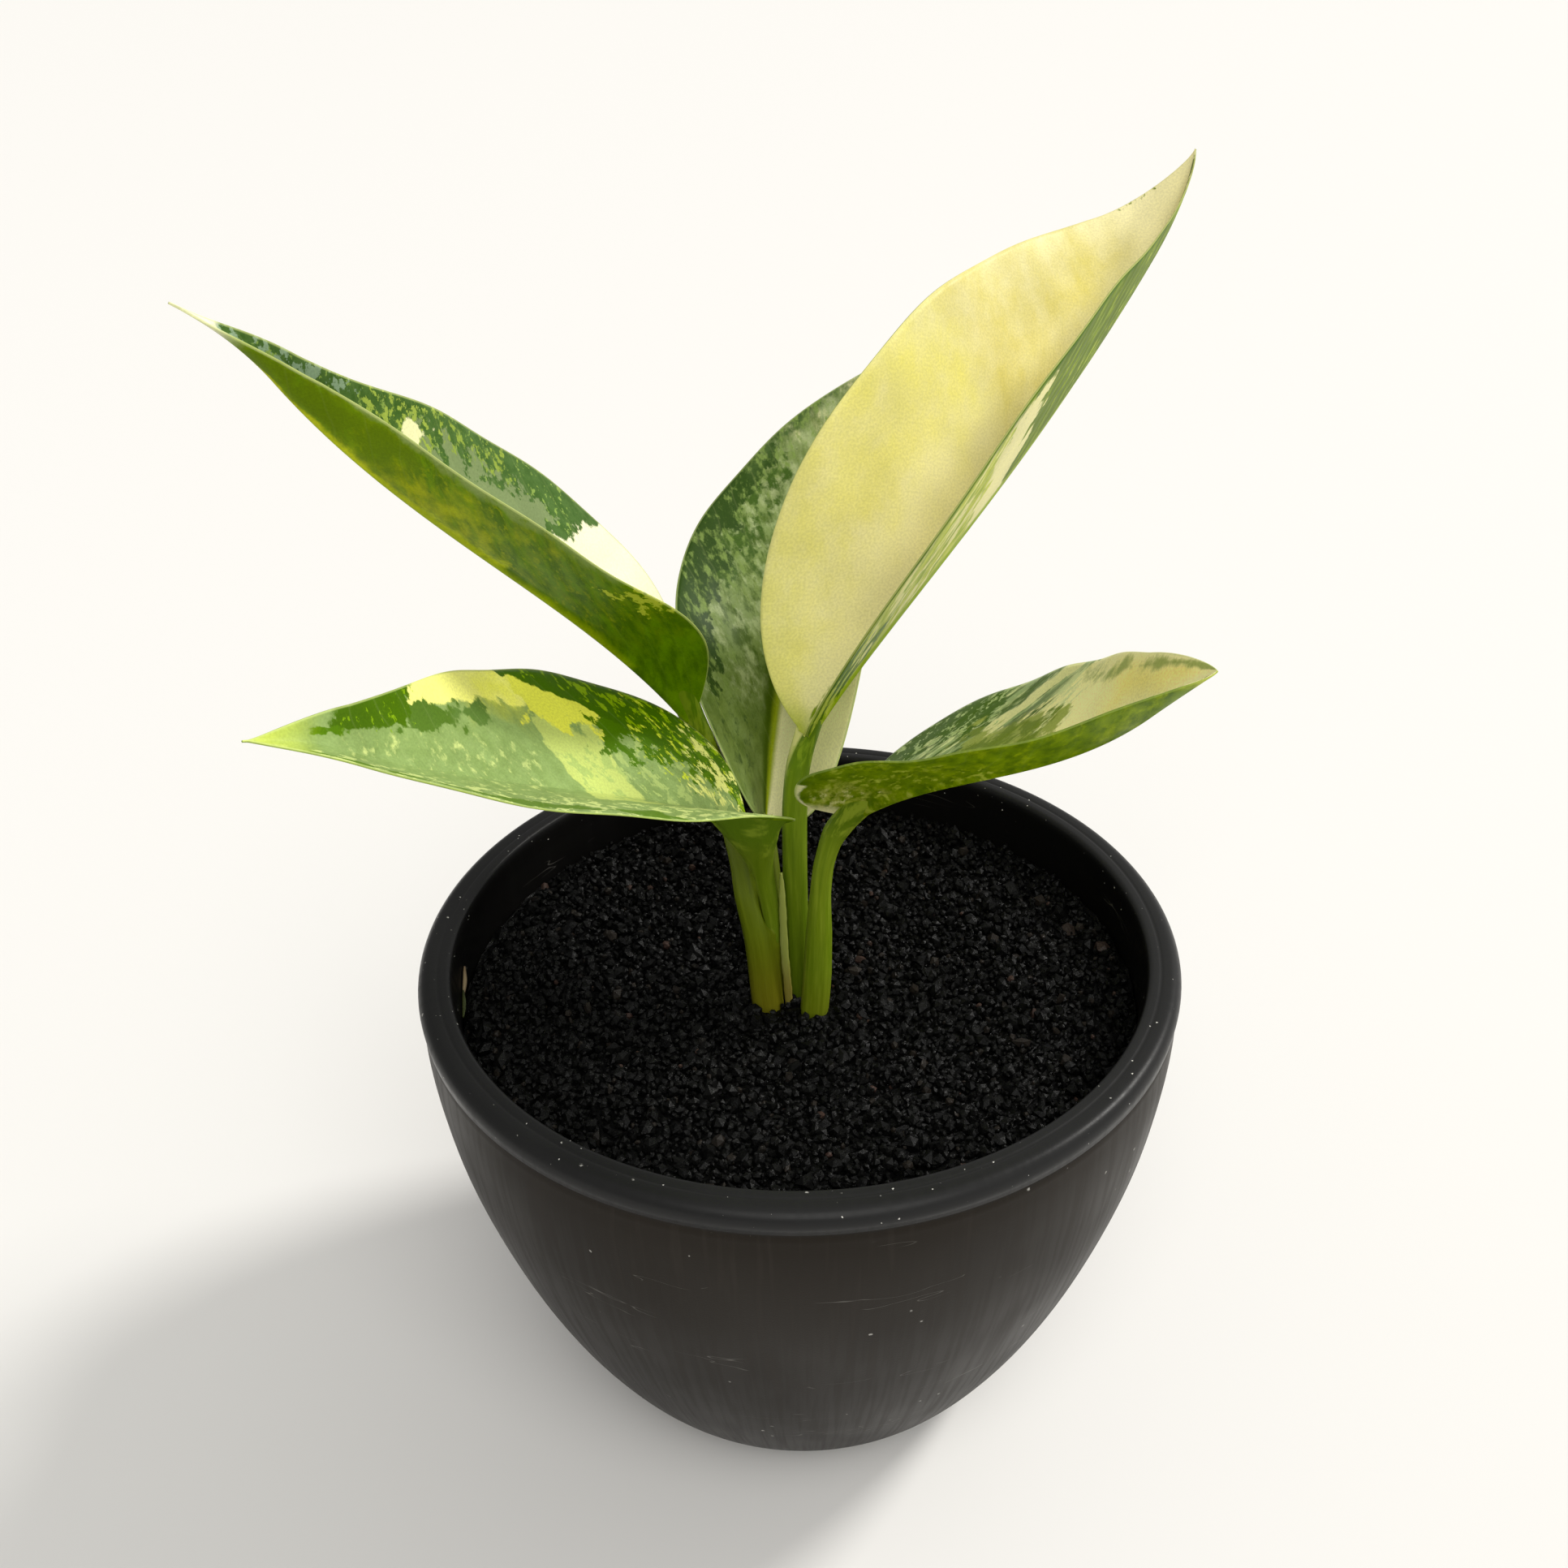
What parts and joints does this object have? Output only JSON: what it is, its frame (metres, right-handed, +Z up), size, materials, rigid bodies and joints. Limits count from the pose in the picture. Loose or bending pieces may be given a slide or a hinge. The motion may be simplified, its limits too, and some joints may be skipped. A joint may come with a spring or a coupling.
{
  "type": "potted suvarnabhumi aglaonema",
  "caption": "A young variegated house plant with stiff pointed leaves on round stalks, growing from black grit in a plain dark bowl-shaped pot.",
  "frame": {"origin": "centre of the pot's foot, on the surface that the pot stands on", "axes": "+Z is up; -Y is the front, the side that the picture was taken from; the level leaf points to -X"},
  "size_m": [0.1806, 0.184, 0.2618],
  "materials": {
    "pot_plastic": "charcoal black moulded plastic, satin, with dust specks and fine scratches",
    "grit": "damp black volcanic grit, rough grains with small glints",
    "root": "pale fleshy stem and roots",
    "leaf_upper_left": "living leaf, dark green flecked with yellow green and cream, satin",
    "leaf_lower_left": "living leaf, sage with yellow, cream and dark green sectors, satin",
    "leaf_back": "living leaf, one half mottled sage and dark green, the other cream, satin",
    "leaf_upper_right": "living leaf, pale butter yellow with green streaks beside the keel, satin",
    "leaf_right": "living leaf, streaked with cream, sage and dark green, satin",
    "stalk_scale": "thin papery scale, pale yellow green"
  },
  "bodies": {
    "root": {"pot": "pot_plastic", "soil": "grit", "stem_and_roots": "root", "leaf_upper_left": "leaf_upper_left", "leaf_lower_left": "leaf_lower_left", "leaf_back": "leaf_back", "leaf_upper_right": "leaf_upper_right", "leaf_right": "leaf_right", "stalk_scale": "stalk_scale"}
  },
  "joints": []
}
